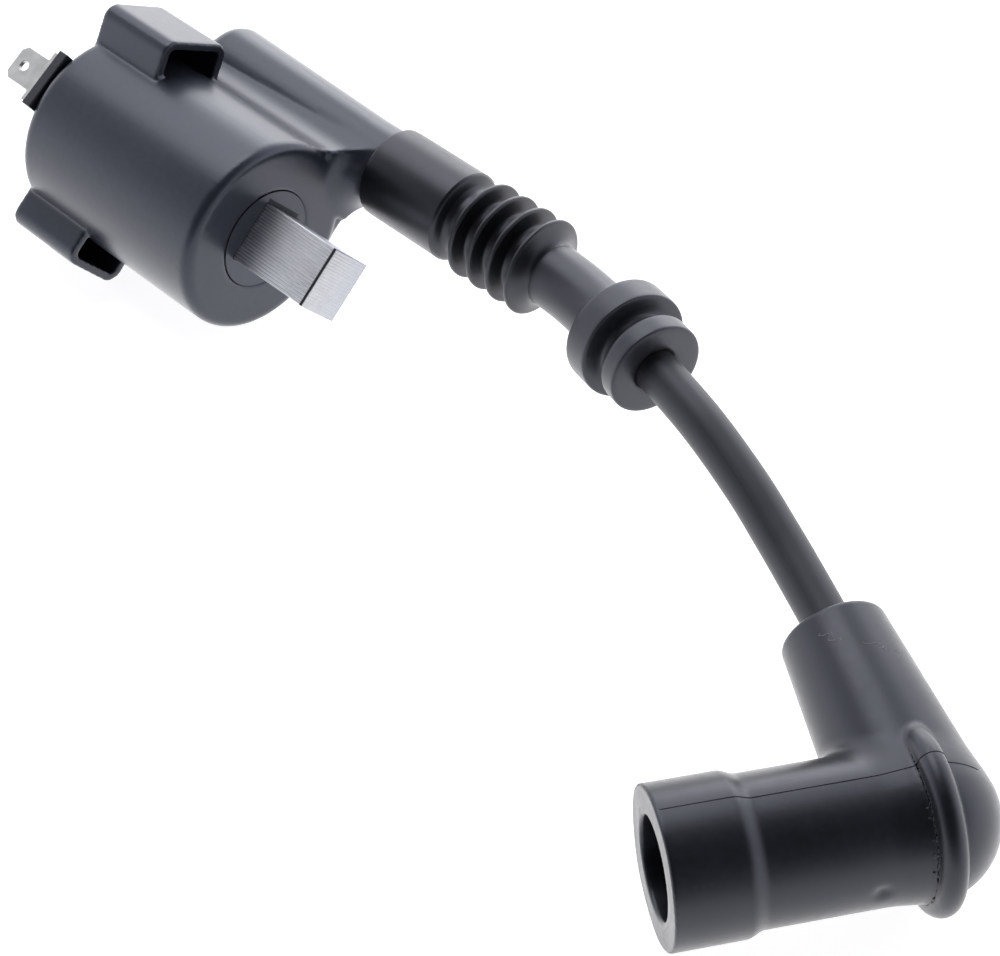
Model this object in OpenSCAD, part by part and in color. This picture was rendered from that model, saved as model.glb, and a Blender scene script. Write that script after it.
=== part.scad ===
// Potted ignition coil for a small engine, with its side tower, high-tension lead and plug boot.
// The coil axis runs along X with the core's free end at +X, and the tower lies beside it at +Y.
// The surface that the coil lies on is z = 0.

/* [Case] */
// Outer diameter of the case
case_d = 34; // [32:0.5:37]
// Length of the case along the coil axis
case_l = 43; // [40:0.5:48]
// Wall of the case and of its pockets
wall = 1.5; // [1.2:0.1:1.8]
// Rounding of the front and rear edges of the case
edge_r = 1.7; // [0.8:0.1:2]

/* [Mounting pockets] */
// Width of the upper pocket across its outside
upper_pocket_w = 14.3; // [12:0.1:15]
// Width of the lower pocket across its outside
lower_pocket_w = 13.4; // [12:0.2:15]
// Length of each pocket along the coil axis
pocket_l = 15.8; // [12:0.2:20]
// Distance from the coil axis to the flat of the upper pocket
upper_pocket_reach = 22.4; // [21.5:0.1:23]
// Distance from the coil axis to the flat of the lower pocket
lower_pocket_reach = 21.8; // [21.5:0.1:22.2]
// Direction of the upper pocket, turned from straight up toward the tower
upper_pocket_turn = 30; // [24:1:34]
// Direction of the lower pocket, turned the same way
lower_pocket_turn = 232; // [228:1:238]

/* [Tower] */
// Diameter of the high-tension tower
tower_d = 13.6; // [12.6:0.2:14]
// Sideways distance from the coil axis to the tower axis
tower_out = 24.4; // [23.4:0.2:26]
// Height of the tower axis above the coil axis
tower_up = 2.55; // [1.05:0.1:4.05]
// How far the tower stands out of the front face before its nozzle
tower_nose = 4.6; // [3.5:0.1:6]

/* [Core] */
// Number of steel sheets in the core
sheet_count = 20; // [16:1:22]
// Thickness of the whole stack
stack_t = 10.6; // [9.6:0.1:10.8]
// Width of each sheet
sheet_w = 9.5; // [9:0.1:10]
// Length of the core outside the front face
core_out = 16.5; // [12:0.5:20]
// Direction in which the sheets are stacked, turned from straight up toward the tower
core_turn = 50; // [45:1:55]

/* [Lead and boot] */
// Diameter of the high-tension lead
lead_d = 7; // [6.8:0.1:7.2]
// Diameter of the bellows ribs
rib_d = 16.8; // [16:0.2:17.4]
// Distance between the bellows ribs
rib_pitch = 4.2; // [4.2:0.1:4.6]
// Diameter of the rear flange of the sleeve grommet
rear_flange_d = 18.4; // [17:0.2:19]
// Diameter of the front flange of the sleeve grommet
front_flange_d = 15.8; // [14.6:0.2:17]
// Diameter of the boot's barrel
barrel_d = 20.8; // [20:0.2:21.4]
// Diameter of the boot's mouth collar
collar_d = 22.2; // [21.8:0.2:23]
// Bore of the boot's mouth, which grips the spark plug's insulator
mouth_bore_d = 14; // [13.6:0.2:15]
// Distance from the boot's mouth to the axis of its arm
mouth_to_arm = 36.6; // [35:0.2:39]

/* [Terminals] */
// Width of the blade terminal
blade_w = 6.3; // [4.8:0.1:6.5]
// Thickness of the blade terminal
blade_t = 0.8; // [0.5:0.1:1]
// Bore of the plug terminal, for the plug's terminal nut
socket_bore_d = 6.3; // [6:0.1:6.5]

/* [Hidden] */
$fn = 64;
touch = 0.02;

// Place of the coil axis at the front face
origin_x = 4.4;
origin_y = -6.3;
origin_z = 17.75;

case_r = case_d / 2;
pocket_corner_r = 2.4;
pocket_inner_r = 1;
pocket_root = 5;
front_wall = 2;
cavity_r = case_r - wall;
tower_r = tower_d / 2;
lead_r = lead_d / 2;
lead_bore_r = lead_r + 0.1;

// Web between case and tower: fillet circles that touch both outlines
tower_dist = norm([tower_out, tower_up]);
tower_turn = atan2(tower_up, tower_out);
upper_fillet_r = 9;
lower_fillet_r = 16;
web_front = -0.6;
function fillet_along(r) =
    (pow(case_r + r, 2) - pow(tower_r + r, 2) + pow(tower_dist, 2)) / (2 * tower_dist);
function fillet_across(r) = sqrt(pow(case_r + r, 2) - pow(fillet_along(r), 2));

// Stations of the tower, measured along X from the front face
tower_back = -38.6;
tower_back_r = 3.2;
tower_rear_r = 7.8;
nozzle_r = 5.4;
nozzle_end = 18.6;
lead_inner_end = -8;
passage_at = -14.5;
passage_r = 1;

// Coil winding radii, from the core outward
bobbin_bore_gap = 0.1;
bobbin_r = 8.2;
bobbin_flange_r = 8.65;
primary_r = 10.1;
insulation_r = 10.5;
secondary_bobbin_r = 11.1;
secondary_flange_r = 15;
secondary_r = 14.2;
secondary_start = -36.5;
secondary_end = -3;
section_count = 6;
section_flange_t = 1;
section_pitch = (secondary_end - secondary_start - section_flange_t) / section_count;
bobbin_back = -39;
core_back = -38.5;
resin_back = -42.4;
resin_front = -39.4;

// Terminal block and blade on the rear face
terminal_turn = 328;
block_w = 10.8;
block_t = 5.4;
block_back = -46.3;
block_reach = 14.1;
stem_w = 7.6;
stem_t = 3;
stem_reach = block_reach - 0.7;
blade_tip = -52.8;
blade_taper = 1;
blade_slot = 4;
shoulder_w = 9.8;
shoulder_l = 1.5;
blade_hole_d = 1.8;
blade_hole_at = 2.6;

// Wires, strip and stud that join the windings to the terminals
wire_r = 0.4;
wire_at = (bobbin_r + primary_r) / 2;
wire_gap = 0.2;
wire_end_gap = 0.6;
strip_t = 0.3;
strip_w = 4;
stud_r = 1.28;
stud_back = -16;
stud_tip_l = 4;

// Bellows cap, measured along X from the front face
cap_start = tower_nose + touch;
cap_r = 7.9;
cap_l = 18;
first_rib = 26.4;
rib_count = 4;
groove_r = 6.2;
cap_face_end = 40.8;
cap_face_r = 6;
cap_end = 43.8;
cap_neck_r = 5.2;
cap_edge_r = 0.6;
cap_mouth_r = 4.3;
cap_mouth_from = 32;
rib_half = 1.2;
rib_tip_r = 0.55;
last_rib = first_rib + (rib_count - 1) * rib_pitch;

// High-tension lead: its centre line, from inside the tower to inside the boot
lead_route = [
    [-3.6, 18.1, 20.3], [14, 18.1, 20.3], [30, 18.1, 20.3], [40, 18.1, 20.3],
    [50, 17.5, 20.6], [57, 16.2, 21], [63.8, 14.4, 21.6], [71.9, 12.1, 22.3],
    [78.5, 10.2, 22.4], [85.8, 8.2, 22], [92.8, 6.2, 20.9], [99.7, 4, 19.6],
    [105.7, 1.8, 18.3], [112, -0.7, 17.1], [122.7, -5.5, 15.6], [134.2, -11.8, 14.6],
    [142.9, -16.6, 13.8]
];
lead_sides = 12;
conductor_r = 0.9;

// Outline of the sleeve: distance along the route in spans, and radius there
rear_flange_r = rear_flange_d / 2;
front_flange_r = front_flange_d / 2;
sleeve_neck_r = 5.3;
sleeve_sides = 40;
sleeve_line = [
    [3.92, sleeve_neck_r], [4.4, sleeve_neck_r], [4.9, sleeve_neck_r],
    [5.49, sleeve_neck_r + 0.05], [5.65, 6], [5.73, 7.4], [5.81, rear_flange_r - 0.4],
    [5.89, rear_flange_r], [6.47, rear_flange_r], [6.51, rear_flange_r - 0.3], [6.53, 6.4],
    [6.81, 6.4], [6.83, front_flange_r - 0.3], [6.87, front_flange_r],
    [7.29, front_flange_r], [7.33, front_flange_r - 0.3]
];

// Boot: the point where the arm's axis meets the barrel's axis, and both directions
elbow = [149.9, -20.5, 13.1];
arm_heading = 151.2;
arm_rise = 4.6;
barrel_heading = -123.7;
barrel_rise = 0;
arm_l = 31.2;
arm_rim_r = 7.75;
arm_base_r = 10.2;
arm_bore_r = lead_r + 0.3;
collar_l = 10.2;
collar_chamfer = 2.7;
bead_tube_r = 1.9;
bead_at = 37.6;
bead_r = 11.1;
dome_set = 0.85;
rim_l = 0.5;
mouth_bore_l = 15;
terminal_pocket_r = 5.2;
terminal_pocket_end = 31;
socket_front = 15.2;
socket_back = 30;
stub_r = 1.8;
socket_r = 4.3;
socket_bore_l = 11;
socket_flange_at = 21;
clip_at = 19;
clip_w = 0.9;
clip_wire_r = 0.4;
clip_gap = 2.8;
screw_head_r = 2.2;
screw_head_l = 5.6;
screw_l = 15;
screw_slot_r = 0.4;

// Moves children from the coil's own frame, with X = 0 at the front face, to their place
module at_coil() translate([origin_x, origin_y, origin_z]) children();

// A round profile in radius and distance, turned about the coil axis
module turned() rotate([0, 90, 0]) rotate_extrude() children();

// The same about the tower axis
module turned_on_tower() translate([0, tower_out, tower_up]) turned() children();

// Turns children that stand upward in YZ to a direction round the coil axis
module round_coil(turn) rotate([-turn, 0, 0]) children();

// Points local +Z along a heading and a rise
module aim(heading, rise) rotate([0, 90 - rise, heading]) children();

module ring(inner, outer, from, to)
    translate([inner, from])
        square([outer - inner, to - from]);

// ---- swept tubes along a line of points ----
function unit(v) = v / norm(v);
function last(list) = len(list) - 1;
function heading_at(line, i) = unit(line[min(i + 1, last(line))] - line[max(i - 1, 0)]);
function side_at(line, i) = unit(cross([0, 0, 1], heading_at(line, i)));
function up_at(line, i) = cross(heading_at(line, i), side_at(line, i));
function loop_at(line, i, r, sides) = [
    for (k = [0:sides - 1])
        line[i] + r * (cos(360 * k / sides) * side_at(line, i) + sin(360 * k / sides) * up_at(line, i))
];
function band(a, b, sides) = [
    for (k = [0:sides - 1])
        each [[a + k, b + k, b + (k + 1) % sides], [a + k, b + (k + 1) % sides, a + (k + 1) % sides]]
];

// A closed band of loops: outward over the outer radii and back along the bore
module swept_tube(line, outer, bore, sides) {
    n = len(line);
    points = [
        for (i = [0:n - 1]) each loop_at(line, i, outer[i], sides),
        for (i = [n - 1:-1:0]) each loop_at(line, i, bore, sides)
    ];
    faces = [for (i = [0:2 * n - 1]) each band(i * sides, (i + 1) % (2 * n) * sides, sides)];
    polyhedron(points, faces);
}

// A solid sweep with flat ends
module swept_rod(line, r, sides) {
    n = len(line);
    points = [for (i = [0:n - 1]) each loop_at(line, i, r, sides)];
    faces = [
        for (i = [0:n - 2]) each band(i * sides, (i + 1) * sides, sides),
        [for (k = [0:sides - 1]) k],
        [for (k = [sides - 1:-1:0]) (n - 1) * sides + k]
    ];
    polyhedron(points, faces);
}

// A point of the curve through the lead's route; u runs from 0 to the number of spans
function spline_point(line, u) =
    let (i = min(floor(u), last(line) - 1), t = u - i,
        p0 = line[max(i - 1, 0)], p1 = line[i],
        p2 = line[i + 1], p3 = line[min(i + 2, last(line))])
    0.5 * (2 * p1 + (p2 - p0) * t + (2 * p0 - 5 * p1 + 4 * p2 - p3) * t * t
        + (3 * p1 - p0 - 3 * p2 + p3) * t * t * t);

// ---- case ----
module pocket_outline(w, reach) {
    corner = pocket_corner_r;
    translate([-w / 2 + corner, reach - corner])
        circle(corner);
    translate([w / 2 - corner, reach - corner])
        circle(corner);
    translate([-w / 2 + corner, case_r - pocket_root])
        square([w - 2 * corner, reach - case_r + pocket_root]);
    translate([-w / 2, case_r - pocket_root])
        square([w, reach - corner - case_r + pocket_root]);
}

module pocket_hollow(w, reach) {
    inside_w = w - 2 * wall;
    corner = pocket_inner_r;
    translate([-inside_w / 2, 0])
        square([inside_w, reach - wall - corner]);
    translate([-inside_w / 2 + corner, 0])
        square([inside_w - 2 * corner, reach - wall]);
    for (side = [-1, 1])
        translate([side * (inside_w / 2 - corner), reach - wall - corner])
            circle(corner);
}

// Extrudes a YZ outline backward along X between two stations
module along_x(from, to)
    translate([from, 0, 0])
        rotate([90, 0, 90])
            linear_extrude(to - from)
                children();

module pocket(turn, w, reach)
    round_coil(turn)
        difference() {
            along_x(-case_l, -case_l + pocket_l)
                pocket_outline(w, reach);
            along_x(-case_l + wall, -case_l + pocket_l + 1)
                pocket_hollow(w, reach);
        }

// Web outline in the tower's own direction, before the fillets are cut
module web_outline() {
    upper = [fillet_along(upper_fillet_r), fillet_across(upper_fillet_r)];
    lower = [fillet_along(lower_fillet_r), -fillet_across(lower_fillet_r)];
    rotate(tower_turn)
        difference() {
            polygon([
                [0, 0], case_r * unit(upper), upper,
                upper + upper_fillet_r * unit([tower_dist, 0] - upper), [tower_dist, 0],
                lower + lower_fillet_r * unit([tower_dist, 0] - lower), lower, case_r * unit(lower)
            ]);
            translate(upper)
                circle(upper_fillet_r);
            translate(lower)
                circle(lower_fillet_r);
        }
}

// Collar that leads the front face up to the tower's nose in a hollow curve
module nose_flare()
    turned_on_tower()
        difference() {
            ring(0, tower_r + tower_nose, -edge_r - 1, tower_nose);
            translate([tower_r + tower_nose, tower_nose])
                circle(tower_nose);
        }

module case_body()
    turned()
        case_section();

// Half section of the case: a straight side with a rounded front and rear edge
module case_section() {
    ring(0, case_r, -case_l + edge_r, -edge_r);
    ring(0, case_r - edge_r, -case_l, 0);
    for (station = [-case_l + edge_r, -edge_r])
        translate([case_r - edge_r, station])
            circle(edge_r);
}

module tower_body()
    turned_on_tower() {
        polygon([
            [0, tower_back + tower_back_r], [tower_rear_r, tower_back + tower_back_r],
            [tower_r, -edge_r], [tower_r, tower_nose], [0, tower_nose]
        ]);
        ring(0, tower_rear_r - tower_back_r, tower_back, tower_back + tower_back_r + 1);
        translate([tower_rear_r - tower_back_r, tower_back + tower_back_r])
            circle(tower_back_r);
        ring(0, nozzle_r, 0, nozzle_end);
    }

module coil_case()
    color("#4c5364")
        at_coil()
            difference() {
                union() {
                    case_body();
                    pocket(upper_pocket_turn, upper_pocket_w, upper_pocket_reach);
                    pocket(lower_pocket_turn, lower_pocket_w, lower_pocket_reach);
                    tower_body();
                    along_x(-case_l + edge_r, web_front)
                        web_outline();
                    intersection() {
                        nose_flare();
                        along_x(-edge_r - 1, tower_nose)
                            union() {
                                web_outline();
                                translate([tower_out, tower_up])
                                    circle(tower_r);
                                circle(case_r - edge_r);
                            }
                    }
                }
                // winding space, open at the rear
                turned()
                    ring(0, cavity_r, -case_l - 1, -front_wall);
                // hole for the core tube
                turned()
                    ring(0, bobbin_flange_r + touch, -front_wall - 1, 1);
                // bore for the lead, with a narrower hole for the stud behind it
                turned_on_tower() {
                    ring(0, lead_bore_r, lead_inner_end, nozzle_end + 1);
                    ring(0, stud_r + touch, stud_back, lead_inner_end + 1);
                }
                // passage for the wire from the secondary winding
                translate([passage_at, cavity_r - 1, tower_up])
                    rotate([-90, 0, 0])
                        cylinder(r = passage_r, h = tower_out - cavity_r + 1);
            }

module potting_resin()
    color("#1d1f23")
        at_coil()
            turned() {
                ring(0, cavity_r - touch, resin_back, resin_front);
                ring(secondary_flange_r + touch, cavity_r - touch, resin_front - touch,
                    -front_wall - touch);
            }

// ---- core and windings ----
module core_laminations() {
    sheet_t = stack_t / sheet_count;
    color("#d6d7db")
        at_coil()
            round_coil(core_turn)
                for (i = [0:sheet_count - 1])
                    translate([core_back, -sheet_w / 2, -stack_t / 2 + i * sheet_t])
                        cube([core_out - core_back, sheet_w, sheet_t - touch]);
}

module core_hole(from, to)
    round_coil(core_turn)
        translate([from, -sheet_w / 2 - bobbin_bore_gap, -stack_t / 2 - bobbin_bore_gap])
            cube([to - from, sheet_w + 2 * bobbin_bore_gap, stack_t + 2 * bobbin_bore_gap]);

module primary_bobbin()
    color("#3a3f4b")
        at_coil()
            difference() {
                turned() {
                    ring(0, bobbin_r, bobbin_back, 0);
                    ring(0, bobbin_flange_r, -front_wall - 0.5, 0);
                }
                core_hole(bobbin_back - 1, 1);
            }

module primary_winding()
    color("#b5622f")
        at_coil()
            turned()
                ring(bobbin_r + touch, primary_r, secondary_start, secondary_end);

module winding_insulation()
    color("#d9c27a")
        at_coil()
            turned()
                ring(primary_r + touch, insulation_r, secondary_start, secondary_end);

module secondary_bobbin()
    color("#e8e4d8")
        at_coil()
            turned() {
                ring(insulation_r + touch, secondary_bobbin_r, secondary_start, secondary_end);
                for (i = [0:section_count])
                    translate([0, i * section_pitch])
                        ring(insulation_r + touch, secondary_flange_r, secondary_start,
                            secondary_start + section_flange_t);
            }

module secondary_winding()
    color("#a4511f")
        at_coil()
            turned()
                for (i = [0:section_count - 1])
                    translate([0, i * section_pitch])
                        ring(secondary_bobbin_r + touch, secondary_r,
                            secondary_start + section_flange_t + touch,
                            secondary_start + section_pitch - touch);

// ---- rear terminal ----
module at_terminal()
    at_coil()
        round_coil(terminal_turn)
            children();

module terminal_block()
    color("#17181b")
        at_terminal()
            difference() {
                union() {
                    translate([block_back, -block_w / 2, block_reach - block_t / 2])
                        cube([-case_l - touch - block_back, block_w, block_t]);
                    translate([block_back + 1, -stem_w / 2, stem_reach - stem_t / 2])
                        cube([resin_back - touch - block_back - 1, stem_w, stem_t]);
                }
                translate([block_back - 1, -blade_w / 2 - touch, block_reach - blade_t / 2 - touch])
                    cube([blade_slot + 2, blade_w + 2 * touch, blade_t + 2 * touch]);
            }

module blade_terminal()
    color("#e3e3e4")
        at_terminal()
            translate([0, 0, block_reach - blade_t / 2])
                linear_extrude(blade_t)
                    difference() {
                        union() {
                            polygon([
                                [resin_back - touch, -blade_w / 2], [resin_back - touch, blade_w / 2],
                                [blade_tip + blade_taper, blade_w / 2],
                                [blade_tip, blade_w / 2 - blade_taper],
                                [blade_tip, -blade_w / 2 + blade_taper],
                                [blade_tip + blade_taper, -blade_w / 2]
                            ]);
                            translate([block_back - shoulder_l, -shoulder_w / 2])
                                square([shoulder_l - touch, shoulder_w]);
                        }
                        translate([blade_tip + blade_hole_at, 0])
                            circle(d = blade_hole_d);
                    }

// A straight wire between two points in the coil's frame
module wire(a, b) {
    along = b - a;
    translate(a)
        rotate([0, acos(along[2] / norm(along)), atan2(along[1], along[0])])
            cylinder(r = wire_r, h = norm(along));
}

module blade_wire()
    color("#c07a3a")
        at_terminal()
            wire([resin_front + 2 * wire_gap, 0, block_reach], [secondary_start - wire_end_gap, 0, wire_at]);

module ground_wire()
    color("#a9652e")
        at_coil()
            round_coil(core_turn + 90)
                wire([secondary_start - wire_gap, 0, wire_at],
                    [bobbin_back - wire_gap / 2, 3, bobbin_r + 0.6]);

module ground_strip()
    color("#c9a75a")
        at_coil()
            translate([resin_front + touch, 0, 0])
                round_coil(core_turn)
                    translate([0, -sheet_w / 2, -strip_w / 2])
                        cube([strip_t, sheet_w + 4, strip_w]);

module secondary_wire()
    color("#b97238")
        at_coil()
            wire([passage_at, secondary_flange_r + 0.5, tower_up],
                [passage_at, tower_out - stud_r - touch, tower_up]);

module tower_stud()
    color("#c8a558")
        at_coil()
            turned_on_tower() {
                ring(0, stud_r, stud_back + touch, lead_inner_end - touch);
                polygon([
                    [0, lead_inner_end - touch], [conductor_r - touch, lead_inner_end - touch],
                    [0, lead_inner_end + stud_tip_l]
                ]);
            }

// ---- lead and its rubber parts ----
module bellows_cap()
    color("#202226")
        at_coil()
            turned_on_tower()
                difference() {
                    union() {
                        ring(0, cap_r - cap_edge_r, cap_start, cap_start + 1);
                        ring(0, cap_r, cap_start + cap_edge_r, cap_start + cap_l - 1);
                        translate([cap_r - cap_edge_r, cap_start + cap_edge_r])
                            circle(cap_edge_r);
                        ring(0, groove_r, cap_start + 1, last_rib);
                        ring(0, cap_neck_r, last_rib, cap_end);
                        for (i = [0:rib_count - 1])
                            rib_section(first_rib + i * rib_pitch);
                        polygon([
                            [cap_r, cap_start + cap_l - 1.2], [groove_r, cap_start + cap_l + 0.6],
                            [0, cap_start + cap_l], [0, cap_start + cap_l - 2]
                        ]);
                        polygon([
                            [0, last_rib], [rib_d / 2 - 0.3, last_rib + 0.5],
                            [cap_face_r, cap_face_end], [0, cap_face_end]
                        ]);
                    }
                    ring(-1, nozzle_r + touch, 0, nozzle_end + 0.6);
                    ring(-1, lead_bore_r, 0, cap_end + 1);
                    ring(-1, cap_mouth_r, cap_mouth_from, cap_end + 1);
                }

// A rib with rounded rim and sloping flanks
module rib_section(at) {
    shoulder = rib_d / 2 - rib_tip_r;
    translate([shoulder, at])
        circle(rib_tip_r);
    polygon([
        [groove_r - 1, at - rib_half], [shoulder, at - rib_tip_r],
        [shoulder, at + rib_tip_r], [groove_r - 1, at + rib_half]
    ]);
}

module ht_lead_jacket()
    color("#222327")
        swept_tube(lead_route, [for (p = lead_route) lead_r], conductor_r + 0.05, lead_sides);

module ht_lead_conductor()
    color("#c98a4a")
        swept_rod([for (i = [1:last(lead_route) - 1]) lead_route[i]], conductor_r, 8);

module sleeve_grommet()
    color("#3b3f49")
        swept_tube([for (s = sleeve_line) spline_point(lead_route, s[0])],
            [for (s = sleeve_line) s[1]], lead_bore_r, sleeve_sides);

// ---- plug boot ----
module on_barrel()
    translate(elbow)
        aim(barrel_heading, barrel_rise)
            translate([0, 0, mouth_to_arm])
                mirror([0, 0, 1])
                    children();

module on_arm()
    translate(elbow)
        aim(arm_heading, arm_rise)
            children();

module dome_section()
    translate([0, bead_at - dome_set])
        intersection() {
            circle(barrel_d / 2);
            square(barrel_d / 2);
        }

module plug_boot()
    color("#33363e")
        difference() {
            union() {
                on_barrel()
                    rotate_extrude() {
                        polygon([
                            [0, 0], [collar_d / 2 - 0.3, 0], [collar_d / 2, 0.3],
                            [collar_d / 2, collar_l], [barrel_d / 2 - 0.1, collar_l + collar_chamfer],
                            [barrel_d / 2, bead_at], [0, bead_at]
                        ]);
                        translate([bead_r, bead_at])
                            circle(bead_tube_r);
                        dome_section();
                    }
                on_arm() {
                    cylinder(r1 = arm_base_r, r2 = arm_rim_r, h = arm_l - rim_l);
                    translate([0, 0, arm_l - rim_l])
                        cylinder(r1 = arm_rim_r, r2 = arm_rim_r - 0.4, h = rim_l);
                }
            }
            on_barrel() {
                translate([0, 0, -1])
                    cylinder(d = mouth_bore_d, h = mouth_bore_l + 1);
                cylinder(r = terminal_pocket_r, h = terminal_pocket_end);
                cylinder(r = stub_r + touch, h = mouth_to_arm);
            }
            on_arm()
                cylinder(r = arm_bore_r, h = arm_l + 1);
        }

module plug_terminal()
    color("#c9a75a")
        on_barrel()
            difference() {
                union() {
                    translate([0, 0, socket_front])
                        cylinder(r = socket_r, h = socket_back - socket_front);
                    translate([0, 0, socket_flange_at])
                        cylinder(r = terminal_pocket_r - 0.1, h = 2);
                    translate([0, 0, socket_back - 1])
                        cylinder(r = stub_r, h = mouth_to_arm - screw_head_r - touch - socket_back + 1);
                }
                translate([0, 0, socket_front - 1])
                    cylinder(d = socket_bore_d, h = socket_bore_l + 1);
                translate([0, 0, clip_at])
                    difference() {
                        cylinder(r = socket_r + 1, h = clip_w);
                        cylinder(r = socket_r - 0.5, h = clip_w);
                    }
            }

module terminal_clip()
    color("#b8bcc2")
        on_barrel()
            translate([0, 0, clip_at + clip_w / 2])
                difference() {
                    rotate_extrude()
                        translate([socket_r - 0.04, 0])
                            circle(clip_wire_r);
                    translate([0, -clip_gap / 2, -1])
                        cube([socket_r + 2, clip_gap, 2]);
                }

module lead_screw()
    color("#c4a65e")
        on_arm()
            difference() {
                union() {
                    cylinder(r = screw_head_r, h = screw_head_l);
                    cylinder(r1 = 0.75, r2 = 0.4, h = screw_l);
                }
                translate([0, 0, -1])
                    cylinder(r = screw_slot_r, h = 3);
            }

coil_case();
potting_resin();
core_laminations();
primary_bobbin();
primary_winding();
winding_insulation();
secondary_bobbin();
secondary_winding();
terminal_block();
blade_terminal();
blade_wire();
ground_wire();
ground_strip();
secondary_wire();
tower_stud();
bellows_cap();
ht_lead_jacket();
ht_lead_conductor();
sleeve_grommet();
plug_boot();
plug_terminal();
terminal_clip();
lead_screw();
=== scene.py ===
import math
import random

import bmesh
import bpy
import numpy as np
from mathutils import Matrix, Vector


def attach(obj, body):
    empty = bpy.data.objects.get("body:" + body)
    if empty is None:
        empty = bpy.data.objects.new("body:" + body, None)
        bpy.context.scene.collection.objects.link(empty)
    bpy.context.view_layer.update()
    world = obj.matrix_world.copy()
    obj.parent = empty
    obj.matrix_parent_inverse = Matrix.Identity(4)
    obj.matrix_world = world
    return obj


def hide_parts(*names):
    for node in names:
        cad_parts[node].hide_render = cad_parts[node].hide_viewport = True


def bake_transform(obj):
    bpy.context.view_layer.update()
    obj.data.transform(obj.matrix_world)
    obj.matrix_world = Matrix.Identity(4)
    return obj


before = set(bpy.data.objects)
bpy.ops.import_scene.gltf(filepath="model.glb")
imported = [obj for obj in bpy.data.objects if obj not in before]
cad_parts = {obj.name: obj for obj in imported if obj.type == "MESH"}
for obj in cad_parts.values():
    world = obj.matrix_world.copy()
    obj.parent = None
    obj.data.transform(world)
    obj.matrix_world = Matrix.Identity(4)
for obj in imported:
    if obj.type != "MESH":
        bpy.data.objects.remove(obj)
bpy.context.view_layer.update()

MM = 0.001
SCENE = bpy.context.scene
rng = random.Random(7)

# ---- camera ----
CAMERA_AZIMUTH = 44.36
CAMERA_ELEVATION = 46.58
CAMERA_PLACE = (0.2332, -0.18535, 0.2650)
LENS_MM = 82.8
SENSOR_MM = 36


def make_camera():
    data = bpy.data.cameras.new("Camera")
    data.lens = LENS_MM
    data.sensor_width = SENSOR_MM
    data.clip_start = 0.01
    data.clip_end = 20
    cam = bpy.data.objects.new("Camera", data)
    SCENE.collection.objects.link(cam)
    cam.location = CAMERA_PLACE
    cam.rotation_euler = (math.radians(90 - CAMERA_ELEVATION), 0, math.radians(CAMERA_AZIMUTH))
    SCENE.camera = cam


make_camera()


# ---- places that repeat part.scad, in millimetres ----
COIL_AXIS = Vector((4.4, -6.3, 17.75))
TOWER_OUT, TOWER_UP = 24.4, 2.55
TOWER_AXIS = COIL_AXIS + Vector((0, TOWER_OUT, TOWER_UP))
ALONG_X = Vector((1, 0, 0))
LEAD_ROUTE = [
    (-3.6, 18.1, 20.3), (14, 18.1, 20.3), (30, 18.1, 20.3), (40, 18.1, 20.3),
    (50, 17.5, 20.6), (57, 16.2, 21), (63.8, 14.4, 21.6), (71.9, 12.1, 22.3),
    (78.5, 10.2, 22.4), (85.8, 8.2, 22), (92.8, 6.2, 20.9), (99.7, 4, 19.6),
    (105.7, 1.8, 18.3), (112, -0.7, 17.1), (122.7, -5.5, 15.6), (134.2, -11.8, 14.6),
    (142.9, -16.6, 13.8),
]
ROUTE = [Vector(p) for p in LEAD_ROUTE]
ROUTE_STEP = 0.05
LEAD_R = 3.5
ELBOW = Vector((149.9, -20.5, 13.1))


def heading(azimuth, rise):
    a, e = math.radians(azimuth), math.radians(rise)
    return Vector((math.cos(a) * math.cos(e), math.sin(a) * math.cos(e), math.sin(e)))


ARM_DIR = heading(151.2, 4.6)
MOUTH_DIR = heading(-123.7, 0)
MOUTH_TO_ARM = 36.6
MOUTH = ELBOW + MOUTH_TO_ARM * MOUTH_DIR
ARM_L = 31.2


def round_coil(turn, x, across, out):
    """A point in the row frame from a direction round the coil axis, in millimetres."""
    t = math.radians(turn)
    return COIL_AXIS + Vector((
        x,
        across * math.cos(t) + out * math.sin(t),
        -across * math.sin(t) + out * math.cos(t),
    ))


def box_corners(turn, x, across, out):
    """A box's corners from its ranges along X, across and outward round the coil."""
    return [round_coil(turn, a, b, c) for a in x for b in across for c in out]


# ---- mesh helpers ----
def link(name, mesh):
    obj = bpy.data.objects.new(name, mesh)
    SCENE.collection.objects.link(obj)
    return obj


def mesh_object(name, points_mm, faces, uvs=None):
    mesh = bpy.data.meshes.new(name)
    mesh.from_pydata([Vector(p) * MM for p in points_mm], [], faces)
    if uvs:
        layer = mesh.uv_layers.new(name="along")
        for loop in mesh.loops:
            layer.data[loop.index].uv = uvs[loop.vertex_index]
    mesh.validate()
    return link(name, mesh)


# Faces of a box whose corners run through both x, then both across, then both out
BOX_FACES = [(0, 1, 3, 2), (4, 6, 7, 5), (0, 4, 5, 1), (2, 3, 7, 6), (0, 2, 6, 4), (1, 5, 7, 3)]


def shade(obj, sharp_deg=40):
    """Smooth shading with edges sharper than an angle kept."""
    bm = bmesh.new()
    bm.from_mesh(obj.data)
    bmesh.ops.recalc_face_normals(bm, faces=bm.faces)
    for face in bm.faces:
        face.smooth = True
    for edge in bm.edges:
        if len(edge.link_faces) == 2:
            edge.smooth = edge.calc_face_angle(0) < math.radians(sharp_deg)
    bm.to_mesh(obj.data)
    bm.free()
    return obj


def catmull(points, per_span):
    """Points of a smooth curve through the given ones, with per_span steps between two of them."""
    out = []
    last = len(points) - 1
    for i in range(last):
        p0, p1, p2, p3 = (points[max(i - 1, 0)], points[i], points[i + 1], points[min(i + 2, last)])
        for k in range(per_span):
            out.append(catmull_at(p0, p1, p2, p3, k / per_span))
    out.append(points[last])
    return out


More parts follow.
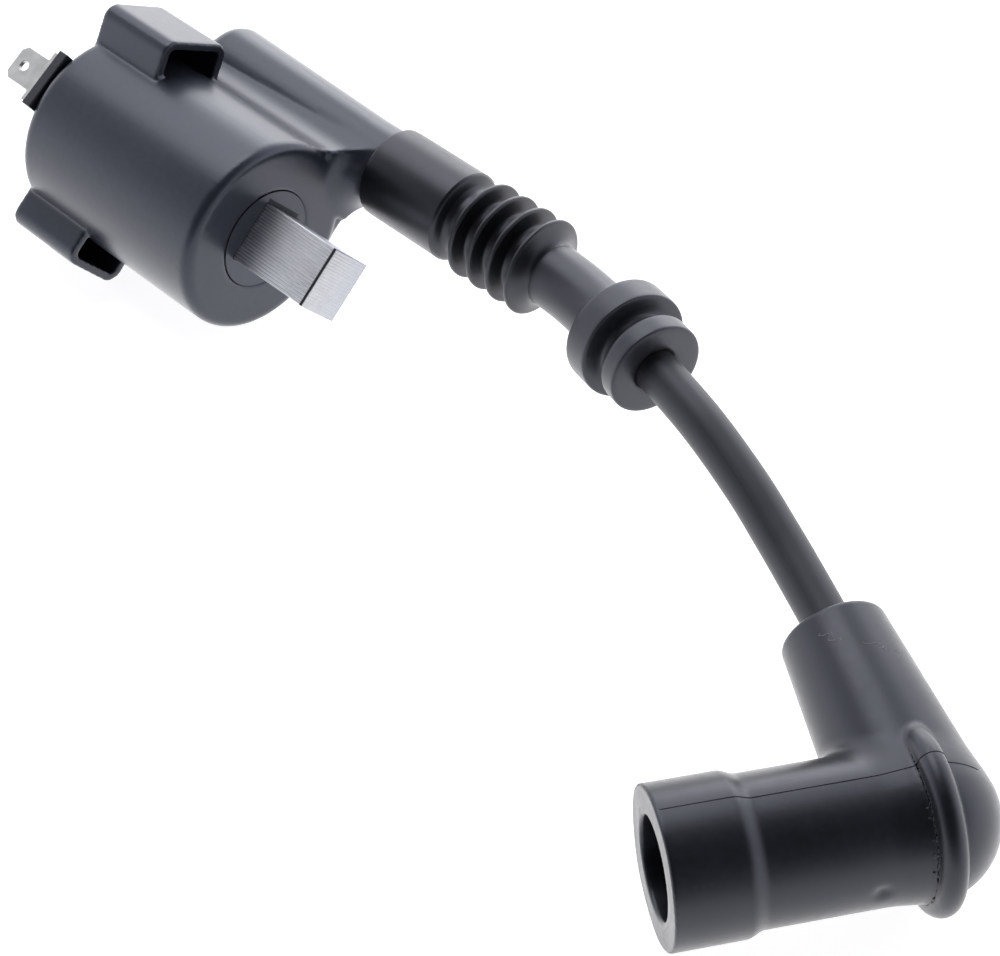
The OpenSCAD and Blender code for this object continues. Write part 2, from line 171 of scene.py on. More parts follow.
def catmull_at(p0, p1, p2, p3, t):
    return 0.5 * (2 * p1 + (p2 - p0) * t + (2 * p0 - 5 * p1 + 4 * p2 - p3) * t * t
                  + (3 * p1 - p0 - 3 * p2 + p3) * t * t * t)


def route_at(u):
    i = min(int(u), len(ROUTE) - 2)
    last = len(ROUTE) - 1
    return catmull_at(ROUTE[max(i - 1, 0)], ROUTE[i], ROUTE[i + 1], ROUTE[min(i + 2, last)], u - i)


def smooth_profile(points, per_span=4):
    return [tuple(p) for p in catmull([Vector((a, b, 0)).xy for a, b in points], per_span)]


def circle(centre, side, up, radius, sides):
    """Points round a centre, in the plane of two unit vectors."""
    turns = [2 * math.pi * k / sides for k in range(sides)]
    return [centre + (side * math.cos(a) + up * math.sin(a)) * radius for a in turns]


def ring_faces(rings, sides, closed):
    """Faces between rings of points; closed joins the last to the first, and open ends get a cap."""
    faces = []
    for i in range(rings if closed else rings - 1):
        a, b = i * sides, (i + 1) % rings * sides
        faces += [(a + k, a + (k + 1) % sides, b + (k + 1) % sides, b + k) for k in range(sides)]
    if not closed:
        faces += [tuple(range(sides)), tuple((rings - 1) * sides + k for k in range(sides))]
    return faces


def lathe(name, profile, base, axis, sides=128, closed=True):
    """Turns (station, radius) points about an axis; a closed profile makes a ring-shaped solid."""
    axis = axis.normalized()
    side = axis.cross(Vector((0, 0, 1)))
    side = side.normalized() if side.length > 0.1 else Vector((0, 1, 0))
    up = side.cross(axis)
    points, uvs = [], []
    for station, radius in profile:
        points += circle(base + axis * station, side, up, radius, sides)
        uvs += [(station * MM, k / sides) for k in range(sides)]
    return mesh_object(name, points, ring_faces(len(profile), sides, closed), uvs)


def sweep(name, stations, closed, sides=64):
    """Sweeps circles along the lead: stations are (place along the route in spans, radius)."""
    points, uvs = [], []
    length = 0.0
    before = route_at(stations[0][0])
    for u, radius in stations:
        here = route_at(u)
        length += (here - before).length
        before = here
        forward = (route_at(u + ROUTE_STEP) - route_at(u - ROUTE_STEP)).normalized()
        side = Vector((0, 0, 1)).cross(forward).normalized()
        points += circle(here, side, forward.cross(side), radius, sides)
        uvs += [(length * MM, k / sides) for k in range(sides)]
    return mesh_object(name, points, ring_faces(len(stations), sides, closed), uvs)


def applied(obj):
    """Applies the object's modifiers to its mesh."""
    bpy.context.view_layer.update()
    mesh = bpy.data.meshes.new_from_object(obj.evaluated_get(bpy.context.evaluated_depsgraph_get()))
    obj.modifiers.clear()
    obj.data = mesh
    return obj


def bevelled(obj, width_mm, segments):
    bevel = obj.modifiers.new("edges", "BEVEL")
    bevel.width = width_mm * MM
    bevel.segments = segments
    return applied(obj)


def rounded_copy(node, name, voxel_mm, smooth_steps):
    """A copy of a CAD node's mesh with its edges rounded by about one voxel."""
    obj = link(name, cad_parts[node].data.copy())
    obj.data.materials.clear()
    bm = bmesh.new()
    bm.from_mesh(obj.data)
    bmesh.ops.remove_doubles(bm, verts=bm.verts, dist=1e-7)
    bm.to_mesh(obj.data)
    bm.free()
    remesh = obj.modifiers.new("voxels", "REMESH")
    remesh.mode = "VOXEL"
    remesh.voxel_size = voxel_mm * MM
    remesh.adaptivity = 0
    if smooth_steps:
        smooth = obj.modifiers.new("smooth", "SMOOTH")
        smooth.factor = 0.5
        smooth.iterations = smooth_steps
    applied(obj)
    obj.data.polygons.foreach_set("use_smooth", [True] * len(obj.data.polygons))
    return obj


# ---- materials ----
def node_of(tree, kind, **settings):
    node = tree.nodes.new(kind)
    for key, value in settings.items():
        setattr(node, key, value)
    return node


BLOTCH_SCALE, FINE_SHARE, BROAD_SHARE = 55, 0.45, 0.55
SPECULAR, SPECULAR_TINT = 0.38, (0.82, 0.85, 1.0, 1)


def material(name, low, high, rough, grain=900, grain_stretch=(1, 1, 1), bump=0.000012, bump_grain=2600,
             metallic=0.0, wear=0.0, use_uv=False):
    """A moulded, drawn or cast surface: mottled colour and roughness, fine grain and paler edges."""
    mat = bpy.data.materials.new(name)
    mat.use_nodes = True
    tree = mat.node_tree
    shader = tree.nodes["Principled BSDF"]
    link_to = tree.links.new
    coords = node_of(tree, "ShaderNodeTexCoord")
    source = coords.outputs["UV" if use_uv else "Object"]
    mapping = node_of(tree, "ShaderNodeMapping")
    mapping.inputs["Scale"].default_value = grain_stretch
    link_to(source, mapping.inputs["Vector"])

    fine = node_of(tree, "ShaderNodeTexNoise")
    fine.inputs["Scale"].default_value = grain
    fine.inputs["Detail"].default_value = 5
    link_to(mapping.outputs["Vector"], fine.inputs["Vector"])
    broad = node_of(tree, "ShaderNodeTexNoise")
    broad.inputs["Scale"].default_value = BLOTCH_SCALE
    broad.inputs["Detail"].default_value = 3
    link_to(source, broad.inputs["Vector"])
    both = node_of(tree, "ShaderNodeMath", operation="MULTIPLY_ADD")
    both.inputs[1].default_value = FINE_SHARE
    link_to(fine.outputs["Fac"], both.inputs[0])
    scaled = node_of(tree, "ShaderNodeMath", operation="MULTIPLY")
    scaled.inputs[1].default_value = BROAD_SHARE
    link_to(broad.outputs["Fac"], scaled.inputs[0])
    link_to(scaled.outputs[0], both.inputs[2])
    ramp = node_of(tree, "ShaderNodeValToRGB")
    ramp.color_ramp.elements[0].position = 0.36
    ramp.color_ramp.elements[0].color = (*low, 1)
    ramp.color_ramp.elements[1].position = 0.64
    ramp.color_ramp.elements[1].color = (*high, 1)
    link_to(both.outputs[0], ramp.inputs["Fac"])
    colour = ramp.outputs["Color"]
    if wear:
        geometry = node_of(tree, "ShaderNodeNewGeometry")
        edge = node_of(tree, "ShaderNodeMapRange")
        edge.inputs["From Min"].default_value = 0.53
        edge.inputs["From Max"].default_value = 0.62
        edge.inputs["To Max"].default_value = wear
        link_to(geometry.outputs["Pointiness"], edge.inputs["Value"])
        mix = node_of(tree, "ShaderNodeMix", data_type="RGBA")
        mix.inputs[7].default_value = tuple(min(1.0, c * 2.2 + 0.03) for c in high) + (1,)
        link_to(edge.outputs["Result"], mix.inputs[0])
        link_to(colour, mix.inputs[6])
        colour = mix.outputs[2]
    link_to(colour, shader.inputs["Base Color"])

    roughness = node_of(tree, "ShaderNodeMapRange")
    roughness.inputs["From Min"].default_value = 0.3
    roughness.inputs["From Max"].default_value = 0.7
    roughness.inputs["To Min"].default_value = rough[0]
    roughness.inputs["To Max"].default_value = rough[1]
    link_to(both.outputs[0], roughness.inputs["Value"])
    link_to(roughness.outputs["Result"], shader.inputs["Roughness"])

    texture = node_of(tree, "ShaderNodeTexNoise")
    texture.inputs["Scale"].default_value = bump_grain
    texture.inputs["Detail"].default_value = 4
    link_to(mapping.outputs["Vector"], texture.inputs["Vector"])
    relief = node_of(tree, "ShaderNodeBump")
    relief.inputs["Strength"].default_value = 0.6
    relief.inputs["Distance"].default_value = bump
    link_to(texture.outputs["Fac"], relief.inputs["Height"])
    link_to(relief.outputs["Normal"], shader.inputs["Normal"])
    shader.inputs["Metallic"].default_value = metallic
    shader.inputs["Specular IOR Level"].default_value = SPECULAR
    shader.inputs["Specular Tint"].default_value = SPECULAR_TINT
    return mat


CASE = material("case_plastic", (0.021, 0.0245, 0.0355), (0.028, 0.032, 0.046), (0.28, 0.36), wear=0.08)
RESIN = material("resin", (0.010, 0.011, 0.013), (0.016, 0.017, 0.020), (0.12, 0.24), bump=0.00003,
                 bump_grain=240)
STEEL = material("core_steel", (0.60, 0.61, 0.65), (0.80, 0.81, 0.86), (0.34, 0.48), grain=500,
                 grain_stretch=(1, 12, 12), metallic=1.0, bump=0.00002)
STEEL_END = material("core_steel_end", (0.29, 0.295, 0.305), (0.37, 0.375, 0.385), (0.36, 0.5),
                     grain=700, metallic=1.0, bump=0.00002)
# Painted shade: a near-black finish for the shadow in the slot beside the core and round the core's tip
# edge
PAINTED_SHADE = material("painted_shade", (0.006, 0.006, 0.007), (0.012, 0.012, 0.014), (0.6, 0.8))
BOBBIN = material("bobbin_plastic", (0.025, 0.029, 0.041), (0.033, 0.037, 0.052), (0.30, 0.40))
CORE_SEAM = material("core_seam", (0.045, 0.046, 0.050), (0.075, 0.077, 0.083), (0.5, 0.65))
JOINT = material("joint_line", (0.014, 0.015, 0.019), (0.022, 0.024, 0.030), (0.45, 0.6))
COPPER = material("copper_wire", (0.45, 0.17, 0.07), (0.70, 0.33, 0.16), (0.25, 0.4), metallic=0.9,
                  grain=200, grain_stretch=(12, 1, 1))
FILM = material("insulation_film", (0.55, 0.40, 0.14), (0.72, 0.56, 0.24), (0.3, 0.45))
WHITE = material("bobbin_white", (0.66, 0.64, 0.56), (0.80, 0.78, 0.70), (0.4, 0.5))
FINE_COPPER = material("fine_copper_wire", (0.38, 0.13, 0.05), (0.58, 0.25, 0.11), (0.3, 0.45),
                       metallic=0.9, grain=300, grain_stretch=(14, 1, 1))
BLOCK = material("block_plastic", (0.010, 0.011, 0.013), (0.018, 0.019, 0.022), (0.38, 0.5), wear=0.3)
TIN = material("tinned_brass", (0.28, 0.28, 0.275), (0.40, 0.40, 0.39), (0.30, 0.42), metallic=1.0,
               grain=500, bump=0.000016, bump_grain=900)
WIRE = material("lead_out_wire", (0.50, 0.22, 0.09), (0.74, 0.40, 0.20), (0.22, 0.36), metallic=1.0)
BRASS = material("brass_strip", (0.60, 0.43, 0.16), (0.78, 0.60, 0.28), (0.24, 0.38), metallic=1.0)
CAP_RUBBER = material("cap_rubber", (0.0035, 0.0038, 0.0046), (0.0065, 0.007, 0.0085), (0.32, 0.44),
                      wear=0.12)
LEAD_RUBBER = material("lead_jacket", (0.012, 0.0123, 0.0138), (0.018, 0.0185, 0.0205), (0.42, 0.54),
                       use_uv=True, grain=90, grain_stretch=(1, 0.9, 1), bump=0.00001, bump_grain=160)
CONDUCTOR = material("lead_conductor", (0.52, 0.24, 0.10), (0.72, 0.40, 0.2), (0.3, 0.45), metallic=1.0)
SLEEVE_RUBBER = material("sleeve_rubber", (0.016, 0.017, 0.021), (0.024, 0.0255, 0.031), (0.32, 0.44),
                         wear=0.12)
BOOT_RUBBER = material("boot_rubber", (0.0055, 0.006, 0.008), (0.009, 0.0098, 0.013), (0.30, 0.42),
                       wear=0.08)
SCUFF = material("scuff_marks", (0.22, 0.22, 0.24), (0.30, 0.30, 0.33), (0.5, 0.65))
CLIP = material("clip_steel", (0.55, 0.56, 0.58), (0.74, 0.75, 0.77), (0.2, 0.32), metallic=1.0)


def dress(obj, mat):
    obj.data.materials.clear()
    obj.data.materials.append(mat)
    return obj


# ---- lead ----
LEAD_SPANS = (0.9, len(ROUTE) - 1)
LEAD_STEPS = 8


def make_lead():
    first, last = LEAD_SPANS
    count = int((last - first) * LEAD_STEPS)
    spans = [first + (last - first) * i / count for i in range(count + 1)]
    tube = sweep("lead_tube", [(u, LEAD_R) for u in spans], closed=False)
    dress(shade(tube), LEAD_RUBBER)
    path = [route_at(u) * MM for u in spans]
    length = sum((b - a).length for a, b in zip(path, path[1:]))
    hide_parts("ht_lead_jacket")
    return tube, path, length


lead, lead_path, lead_length = make_lead()


# ---- bellows cap ----
FIRST_RIB, RIB_PITCH, RIBS = 26.4, 4.2, 4
# Outline of a rib up to its tip and of the groove after it, measured from the rib's middle
RIB_SIDE = [
    (-1.35, 5.75), (-1.0, 6.1), (-0.72, 6.9), (-0.52, 7.75), (-0.4, 8.2), (-0.2, 8.38), (0.15, 8.4),
    (0.36, 8.28),
]
GROOVE_SIDE = [(0.5, 7.9), (0.68, 7.0), (0.95, 6.1), (1.3, 5.75), (2.2, 5.65)]


def make_cap():
    outer = [
        (4.62, 5.5), (4.62, 6.9), (4.67, 7.5), (4.88, 7.8), (5.3, 7.9), (8, 7.93), (14, 7.93),
        (20.6, 7.93), (21.3, 7.88), (21.8, 7.6), (22.2, 6.9), (22.6, 6.2), (23.2, 5.8), (23.9, 5.7),
    ]
    for i in range(RIBS):
        at = FIRST_RIB + RIB_PITCH * i
        outer += [(at + x, r) for x, r in RIB_SIDE]
        if i < RIBS - 1:
            outer += [(at + x, r) for x, r in GROOVE_SIDE]
    outer += [
        (39.5, 8.0), (39.7, 7.4), (40.0, 6.7), (40.35, 6.1), (40.75, 5.65), (41.2, 5.4), (41.7, 5.26),
        (42.6, 5.22), (43.6, 5.2), (43.78, 5.1),
    ]
    inner = [(43.7, 4.45), (43, 4.3), (33, 4.3), (31.5, 3.62), (19.4, 3.62), (19.2, 5.44), (5.0, 5.44)]
    profile = smooth_profile(outer, 4) + inner
    cap = lathe("bellows_cap_rubber", profile, TOWER_AXIS, ALONG_X)
    dress(shade(cap, 50), CAP_RUBBER)
    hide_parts("bellows_cap")
    return cap


cap = make_cap()


# ---- sleeve grommet ----
SLEEVE_SHIFT, SHIFT_FROM = 0.29, 4.6


def make_grommet():
    outer = [
        (3.6, 5.26), (3.605, 5.3), (3.7, 5.32), (4.0, 5.32), (4.6, 5.32), (5.0, 5.34), (5.2, 5.45),
        (5.3, 5.72), (5.38, 6.3), (5.44, 7.2), (5.49, 8.1), (5.53, 8.72), (5.575, 9.05), (5.63, 9.17),
        (5.8, 9.2), (6.0, 9.2), (6.13, 9.19), (6.17, 9.12), (6.187, 8.9), (6.194, 8.4), (6.2, 7.6),
        (6.21, 6.8), (6.24, 6.1), (6.3, 5.85), (6.38, 5.8), (6.46, 5.85), (6.51, 6.1), (6.53, 6.8),
        (6.54, 7.3), (6.552, 7.68), (6.575, 7.85), (6.62, 7.9), (6.75, 7.9), (6.9, 7.9), (6.955, 7.86),
        (6.98, 7.72), (6.992, 7.4), (6.998, 6.8), (7.0, 5.8), (7.0, 4.7), (6.99, 4.0),
    ]
    inner = [(6.96, 3.6), (5.5, 3.6), (4.0, 3.6), (3.96, 5.24), (3.62, 5.24)]
    shifted = [(u + SLEEVE_SHIFT * min(1, max(0, u - SHIFT_FROM) * 2), r) for u, r in outer]
    profile = smooth_profile(shifted, 3) + [(u + SLEEVE_SHIFT * (u > 5), r) for u, r in inner]
    grommet = sweep("sleeve_grommet_rubber", profile, closed=True, sides=112)
    dress(shade(grommet, 50), SLEEVE_RUBBER)
    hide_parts("sleeve_grommet")
    return grommet


grommet = make_grommet()


# ---- plug boot ----
MOUTH_R, BARREL_R, BORE_R = 11.1, 10.4, 7.0
COLLAR_L, COLLAR_CHAMFER = 10.2, 2.7
BEAD_AT, BEAD_R, BEAD_TUBE = 36.9, 11.1, 1.9
DOME_SET = 1.3
ARM_BASE_R, ARM_RIM_R, ARM_BORE_R = 10.2, 7.75, 3.8
POCKET_R, POCKET_END, BORE_L = 5.2, 31, 15
STUB_R = 1.82
SEAM_TURN = -78
DENT_AT, DENT_THIRD, DENT_TOWARD_ARM = 27.8, 0.156, 0.988
DENT_SPREAD, DENT_DEPTH = 0.8, 0.45
WAVE = 0.05


def smooth_min(a, b, k):
    h = np.clip(0.5 + 0.5 * (b - a) / k, 0, 1)
    return b * (1 - h) + a * h - k * h * (1 - h)


def smooth_max(a, b, k):
    return -smooth_min(-a, -b, k)


def from_axis(p, base, axis):
    """Distance along an axis and from it."""
    v = p - np.array(base)
    s = v @ np.array(axis)
    rho = np.linalg.norm(v - s[:, None] * np.array(axis), axis=1)
    return s, rho


def boot_distance(p):
    """Distance in millimetres to the boot's surface: barrel, dome, bead ring and arm run together."""
    s, rho = from_axis(p, MOUTH, -MOUTH_DIR)
    t, rho_arm = from_axis(p, ELBOW, ARM_DIR)
    step = np.clip((s - COLLAR_L) / COLLAR_CHAMFER, 0, 1)
    step = step * step * (3 - 2 * step)
    barrel = smooth_max(rho - (MOUTH_R + (BARREL_R - 0.1 - MOUTH_R) * step), -s, 0.35)
    dome_at = BEAD_AT - DOME_SET
    barrel = np.maximum(barrel, s - dome_at)
    dome = np.maximum(np.sqrt((s - dome_at) ** 2 + rho ** 2) - BARREL_R, dome_at - s - 1)
    body = np.minimum(barrel, dome)
    bead = np.sqrt((s - BEAD_AT) ** 2 + (rho - BEAD_R) ** 2) - BEAD_TUBE
    cone = rho_arm - (ARM_BASE_R + (ARM_RIM_R - ARM_BASE_R) * t / ARM_L)
    cone = smooth_max(cone, t - ARM_L, 0.6)
    ball = np.sqrt(rho_arm ** 2 + t ** 2) - ARM_BASE_R
    cone = np.where(t > 0, cone, ball)
    outer = smooth_min(body, cone, 2.4)
    outer = smooth_min(outer, bead, 0.6)
    bore = np.maximum(rho - BORE_R, s - BORE_L)
    pocket = np.maximum(rho - POCKET_R, s - POCKET_END)
    stub = np.maximum(rho - STUB_R, s - MOUTH_TO_ARM)
    lead_hole = np.maximum(rho_arm - ARM_BORE_R, -t)
    holes = np.minimum(np.minimum(bore, pocket), np.minimum(stub, lead_hole))
    return smooth_max(outer, -holes, 0.5)


def onto_surface(points, distance, steps, most):
    """Moves points along the gradient onto the surface where distance is 0, each by at most `most`."""
    start = points.copy()
    h = 0.02
    for _ in range(steps):
        d = distance(points)
        grad = np.stack([
            (distance(points + h * axis) - distance(points - h * axis)) / (2 * h) for axis in np.eye(3)
        ], axis=1)
        size = np.maximum((grad ** 2).sum(1), 0.25)
        points = points - (d / size)[:, None] * grad
    move = points - start
    length = np.linalg.norm(move, axis=1)
    keep = np.minimum(1, most / np.maximum(length, 1e-9))
    return start + move * keep[:, None]


def coords(mesh):
    co = np.zeros(len(mesh.vertices) * 3)
    mesh.vertices.foreach_get("co", co)
    return co.reshape(-1, 3)


def boot_frame():
    """Unit vectors across the barrel: toward the arm, and the third direction."""
    toward_arm = (ARM_DIR - MOUTH_DIR * ARM_DIR.dot(MOUTH_DIR)).normalized()
    return toward_arm, MOUTH_DIR.cross(toward_arm)


def make_boot():
    boot = rounded_copy("plug_boot", "boot_rubber_body", 0.3, 0)
    points = coords(boot.data) / MM
    points = onto_surface(points, boot_distance, 4, 2.2)
    # small dent in the side of the barrel away from the arm
    toward_arm, third = boot_frame()
    axis_point = MOUTH - MOUTH_DIR * DENT_AT
    dent = np.array(axis_point - (third * DENT_THIRD + toward_arm * DENT_TOWARD_ARM) * BARREL_R)
    near = np.exp(-(((points - dent) ** 2).sum(1)) / (2 * DENT_SPREAD ** 2))
    inward = np.array(axis_point) - dent
    points += near[:, None] * (inward / np.linalg.norm(inward)) * DENT_DEPTH
    # a faintly uneven moulding
    x, y, z = points.T
    wave = np.sin(x * 0.31 + 1.0) * np.sin(y * 0.37) * np.sin(z * 0.43 + 0.5)
    _, rho = from_axis(points, MOUTH, -MOUTH_DIR)
    points += (wave * WAVE * (rho > BORE_R + 1))[:, None] * (points - np.array(ELBOW)) / 30
    boot.data.vertices.foreach_set("co", (points * MM).ravel())
    dress(boot, BOOT_RUBBER)
    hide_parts("plug_boot")
    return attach(boot, "boot")


boot = make_boot()


def surface_point(start, toward):
    """Where a line from outside first meets the boot, in millimetres."""
    at = np.array([start], float)
    step = np.array(toward)
    for _ in range(60):
        d = boot_distance(at)
        at = at + max(float(d[0]), 0.0005) * 0.9 * step
    return Vector(at[0])


ROD_UP, ROD_TIP = Vector((0.3, 0.2, 0.93)), 0.25


def rod_along(name, points, radius, sides=8):
    """A thin rod through points, in millimetres, with tapered ends."""
    verts = []
    last = len(points) - 1
    for i, p in enumerate(points):
        forward = (points[min(i + 1, last)] - points[max(i - 1, 0)]).normalized()
        side = forward.cross(ROD_UP).normalized()
        size = radius * (ROD_TIP if i in (0, last) else 1)
        verts += circle(p, side, side.cross(forward), size, sides)
    return shade(mesh_object(name, verts, ring_faces(len(points), sides, closed=False)))


SEAM_MAT = material("seam_line", (0.008, 0.008, 0.010), (0.014, 0.014, 0.017), (0.5, 0.65))


# Each scuff: place along the arm and turn round it, at its start and its end, and its number of points
SCUFFS = (((27.8, 122), (24.8, 108), 16), ((23.8, 88), (21.4, 58), 14))
SCUFF_R, SEAM_R = 0.06, 0.11
SEAM_START, SEAM_STEP, SEAM_POINTS = 0.5, 0.36, 121
OUTSIDE_BARREL, OUTSIDE_ARM = 22, 16


def make_seams():
    """Two mould seams along the barrel, on opposite sides."""
    toward_arm, third = boot_frame()
    seams = []
    for number, turn in ((1, SEAM_TURN), (2, SEAM_TURN + 180)):
        t = math.radians(turn)
        out = toward_arm * math.cos(t) + third * math.sin(t)
        line = []
        for i in range(SEAM_POINTS):
            s = SEAM_START + i * SEAM_STEP
            line.append(surface_point(MOUTH - MOUTH_DIR * s + out * OUTSIDE_BARREL, -out))
        seam = rod_along(f"boot_seam_{number}", line, SEAM_R)
        dress(seam, SEAM_MAT)
        seams.append(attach(seam, "boot"))
    return seams


seams = make_seams()


def make_scuffs():
    """Two short scratches near the rim of the arm."""
    side = ARM_DIR.cross(Vector((0, 0, 1))).normalized()
    up = side.cross(ARM_DIR)
    scuffs = []
    for number, (start, end, steps) in enumerate(SCUFFS, 1):
        line = []
        for i in range(steps):
            k = i / (steps - 1)
            t = math.radians(start[1] + (end[1] - start[1]) * k + 5 * math.sin(i * 0.9))
            out = side * math.cos(t) + up * math.sin(t)
            s = start[0] + (end[0] - start[0]) * k + rng.uniform(-0.2, 0.2)
            line.append(surface_point(ELBOW + ARM_DIR * s + out * OUTSIDE_ARM, -out))
        scuff = dress(rod_along(f"boot_scuff_{number}", line, SCUFF_R, 6), SCUFF)
        scuffs.append(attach(scuff, "boot"))
    return scuffs


scuffs = make_scuffs()

# ---- case, terminal and core ----
case = dress(rounded_copy("coil_case", "case_shell", 0.3, 8), CASE)
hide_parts("coil_case")
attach(case, "coil")

# The block is shallower than the CAD's, and the blade longer
BLOCK_FRONT, BLOCK_DEPTH = -38.6 * MM, 0.6
block = dress(rounded_copy("terminal_block", "terminal_block_body", 0.16, 2), BLOCK)
for vertex in block.data.vertices:
    if vertex.co.x < BLOCK_FRONT:
        vertex.co.x = BLOCK_FRONT + (vertex.co.x - BLOCK_FRONT) * BLOCK_DEPTH
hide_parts("terminal_block")
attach(block, "coil")

BLADE_STEP, BLADE_MORE = -43.5 * MM, 1.3 * MM
blade = dress(rounded_copy("blade_terminal", "blade_plate", 0.09, 1), TIN)
for vertex in blade.data.vertices:
    if vertex.co.x < BLADE_STEP:
        vertex.co.x -= BLADE_MORE
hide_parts("blade_terminal")
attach(blade, "coil")

CORE_TURN, SHEETS, STACK, SHEET_W = 50, 20, 10.6, 9.5
CORE_BACK, CORE_OUT = -38.5, 16.5
SHEET_GAP = 0.06


def make_core():
    """The steel sheets one by one, each a little out of line, with their cut edges rounded."""
    pitch = STACK / SHEETS
    verts, faces = [], []
    for i in range(SHEETS):
        low = -STACK / 2 + i * pitch + SHEET_GAP / 2
        high = low + pitch - SHEET_GAP
        half = SHEET_W / 2 - SHEET_GAP / 2 + rng.uniform(-0.02, 0.02)
        tip = CORE_OUT - rng.uniform(0, 0.05)
        slide = rng.uniform(-0.02, 0.02)
        base = len(verts)
        verts += box_corners(CORE_TURN, (CORE_BACK, tip), (-half + slide, half + slide), (low, high))
        faces += [tuple(base + k for k in face) for face in BOX_FACES]
    core = bevelled(mesh_object("core_sheets", verts, faces), 0.05, 2)
    dress(shade(core, 35), STEEL)
    core.data.materials.append(STEEL_END)
    for poly in core.data.polygons:
        if poly.normal.x > 0.9:
            poly.material_index = 1
    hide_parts("core_laminations")
    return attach(core, "coil")


core = make_core()


def slab(name, turn, x, across, out, mat, width_mm=0.04):
    """A box given by its ranges along X, across and outward round the coil, with rounded edges."""
    obj = bevelled(mesh_object(name, box_corners(turn, x, across, out), BOX_FACES), width_mm, 3)
    dress(shade(obj, 35), mat)
    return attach(obj, "coil")


HALF_W, HALF_T = SHEET_W / 2, STACK / 2
slab("core_gap_fill", CORE_TURN, (CORE_BACK + 1, CORE_OUT - 0.4), (-HALF_W + 0.09, HALF_W - 0.09),
     (-HALF_T + 0.1, HALF_T - 0.1), CORE_SEAM)
slab("core_end_fill", CORE_TURN, (CORE_OUT - 0.42, CORE_OUT - 0.09), (-HALF_W + 0.06, HALF_W - 0.06),
     (-HALF_T + 0.1, HALF_T - 0.1), STEEL_END)
# A dark band round the core's tip edge: painted shade where the edge's chamfer lies in shadow
slab("core_end_band", CORE_TURN, (CORE_OUT - 0.62, CORE_OUT - 0.1), (-HALF_W - 0.012, HALF_W + 0.012),
     (-HALF_T - 0.012, HALF_T + 0.012), PAINTED_SHADE, 0.01)


def make_resin():
    """Resin with its level crept up along the case's wall."""
    profile = smooth_profile([
        (-41.2, 15.45), (-42.0, 15.46), (-42.75, 15.47), (-42.86, 15.4), (-42.68, 15.1), (-42.5, 14.5),
        (-42.42, 13.4), (-42.4, 11), (-42.41, 7), (-42.4, 3), (-42.4, 0.6),
    ], 4)
    resin = lathe("resin_level", profile, COIL_AXIS, ALONG_X, closed=False)
    dress(shade(resin, 60), RESIN)
    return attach(resin, "coil")


make_resin()


def flat_ring(name, x, inner, outer, mat):
    """A thin ring just above the front face, which shows as a joint line."""
    profile = [(x, inner), (x, outer), (x - 0.3, outer), (x - 0.3, inner)]
    ring = dress(shade(lathe(name, profile, COIL_AXIS, ALONG_X)), mat)
    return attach(ring, "coil")


flat_ring("bobbin_joint_line", 0.012, 8.63, 8.71, JOINT)
# Painted shadow: a dark slab in the slot along the core's upper edge
slab("core_slot_shadow", CORE_TURN, (-0.5, 0.014), (-HALF_W, HALF_W - 0.7),
     (HALF_T + 0.02, HALF_T + 0.85), PAINTED_SHADE, 0.01)

# ---- CAD nodes that stay, with their finishes ----
KEPT = {
    "potting_resin": RESIN, "primary_bobbin": BOBBIN, "primary_winding": COPPER,
    "winding_insulation": FILM, "secondary_bobbin": WHITE, "secondary_winding": FINE_COPPER,
    "blade_wire": WIRE, "ground_wire": WIRE, "ground_strip": BRASS, "secondary_wire": WIRE,
    "tower_stud": BRASS, "ht_lead_conductor": CONDUCTOR, "plug_terminal": BRASS,
    "terminal_clip": CLIP, "lead_screw": BRASS,
}
for node_name, mat in KEPT.items():
    dress(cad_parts[node_name], mat)

# ---- how the soft pieces move ----
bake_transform(lead)
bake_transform(cap)
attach(grommet, "lead")


# ---- floor, light and world ----
FLOOR_HALF = 3.0
FLOOR_LIGHT, FLOOR_SEEN, FLOOR_GLOSS = 0.35, 0.9, 1.9
SKY_LIGHT, SKY_DARK, SKY_GLOSS = 0.8, 0.04, 3.7
DARK_SIDE, DARK_FROM, DARK_TO = (0.25, -0.45, 0.85), 0.05, 0.88


def make_floor():
    half = FLOOR_HALF / MM
    corners = [(-half, -half, 0), (half, -half, 0), (half, half, 0), (-half, half, 0)]
    floor = mesh_object("floor", corners, [(0, 1, 2, 3)])
    mat = bpy.data.materials.new("floor_paper")
    mat.use_nodes = True
    tree = mat.node_tree
    shader = tree.nodes["Principled BSDF"]
    shader.inputs["Base Color"].default_value = (0.86, 0.86, 0.87, 1)
    shader.inputs["Roughness"].default_value = 0.9
    shader.inputs["Specular IOR Level"].default_value = 0.1
    shader.inputs["Emission Color"].default_value = (1, 1, 1, 1)
    path = node_of(tree, "ShaderNodeLightPath")
    glossy = node_of(tree, "ShaderNodeMapRange")
    glossy.inputs["To Min"].default_value = FLOOR_LIGHT
    glossy.inputs["To Max"].default_value = FLOOR_GLOSS
    tree.links.new(path.outputs["Is Glossy Ray"], glossy.inputs["Value"])
    strength = node_of(tree, "ShaderNodeMapRange")
    strength.inputs["To Max"].default_value = FLOOR_SEEN
    tree.links.new(path.outputs["Is Camera Ray"], strength.inputs["Value"])
    tree.links.new(glossy.outputs["Result"], strength.inputs["To Min"])
    tree.links.new(strength.outputs["Result"], shader.inputs["Emission Strength"])
    dress(floor, mat)


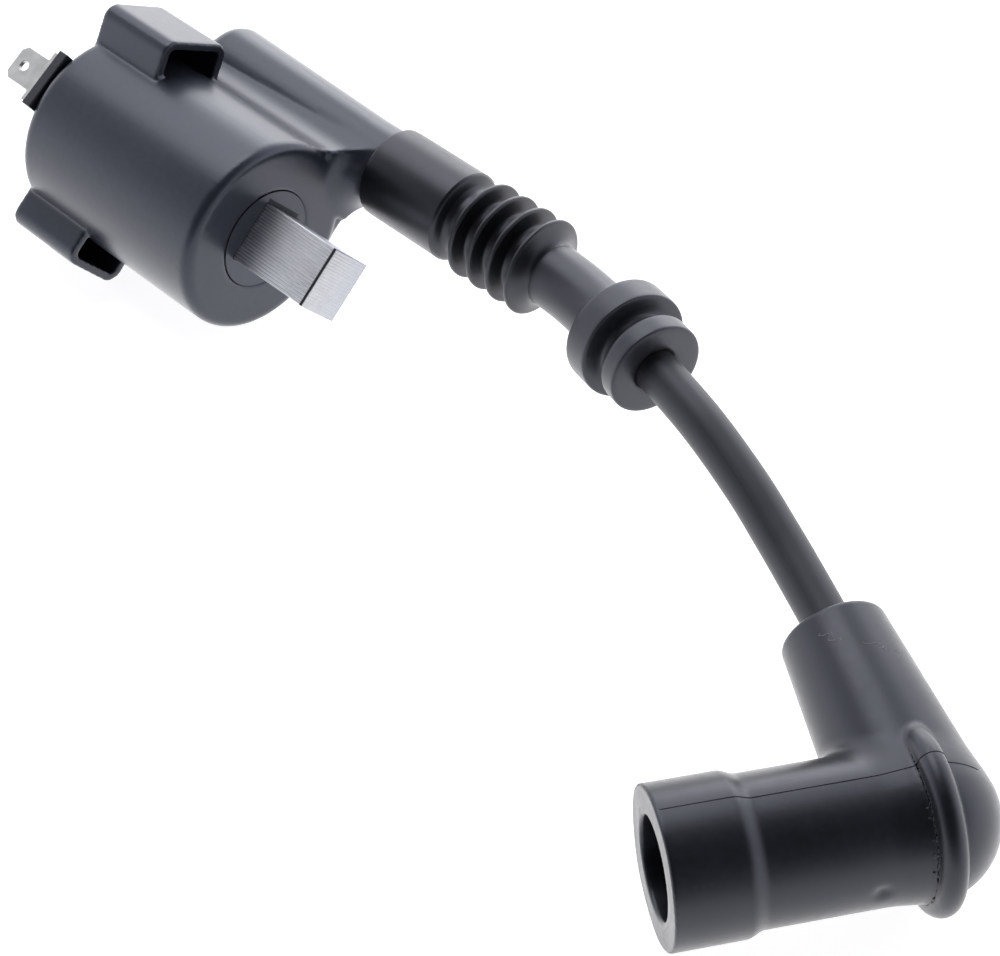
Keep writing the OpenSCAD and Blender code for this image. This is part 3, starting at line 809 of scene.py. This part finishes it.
def make_world():
    """A white tent with a dim opening on the side that the camera stands."""
    world = bpy.data.worlds.new("World")
    SCENE.world = world
    world.use_nodes = True
    tree = world.node_tree
    back = tree.nodes["Background"]
    coord = node_of(tree, "ShaderNodeTexCoord")
    dot = node_of(tree, "ShaderNodeVectorMath", operation="DOT_PRODUCT")
    dot.inputs[1].default_value = Vector(DARK_SIDE).normalized()
    tree.links.new(coord.outputs["Generated"], dot.inputs[0])
    level = node_of(tree, "ShaderNodeMapRange", interpolation_type="SMOOTHSTEP")
    level.inputs["From Min"].default_value = DARK_FROM
    level.inputs["From Max"].default_value = DARK_TO
    level.inputs["To Min"].default_value = SKY_LIGHT
    level.inputs["To Max"].default_value = SKY_DARK
    tree.links.new(dot.outputs["Value"], level.inputs["Value"])
    path = node_of(tree, "ShaderNodeLightPath")
    shine = node_of(tree, "ShaderNodeMapRange")
    shine.inputs["To Min"].default_value = 1.0
    shine.inputs["To Max"].default_value = SKY_GLOSS
    tree.links.new(path.outputs["Is Glossy Ray"], shine.inputs["Value"])
    lit = node_of(tree, "ShaderNodeMath", operation="MULTIPLY")
    tree.links.new(shine.outputs["Result"], lit.inputs[0])
    tree.links.new(level.outputs["Result"], lit.inputs[1])
    pick = node_of(tree, "ShaderNodeMix", data_type="FLOAT")
    pick.inputs[3].default_value = 1.0
    tree.links.new(path.outputs["Is Camera Ray"], pick.inputs[0])
    tree.links.new(lit.outputs[0], pick.inputs[2])
    back.inputs["Color"].default_value = (0.95, 0.96, 1.0, 1)
    tree.links.new(pick.outputs[0], back.inputs["Strength"])


def softbox(name, place, target, size, watts):
    data = bpy.data.lights.new(name, "AREA")
    data.shape = "RECTANGLE"
    data.size, data.size_y = size
    data.energy = watts
    lamp = bpy.data.objects.new(name, data)
    SCENE.collection.objects.link(lamp)
    lamp.location = place
    lamp.rotation_euler = (Vector(target) - Vector(place)).to_track_quat("-Z", "Y").to_euler()


make_floor()
make_world()
softbox("softbox_top", (-0.34, 0.12, 0.74), (0.05, 0, 0.02), (0.55, 0.45), 3.3)
softbox("softbox_back", (-0.35, 0.75, 0.30), (0.05, 0, 0.02), (0.7, 0.4), 2.2)
SCENE.view_settings.view_transform = "Standard"
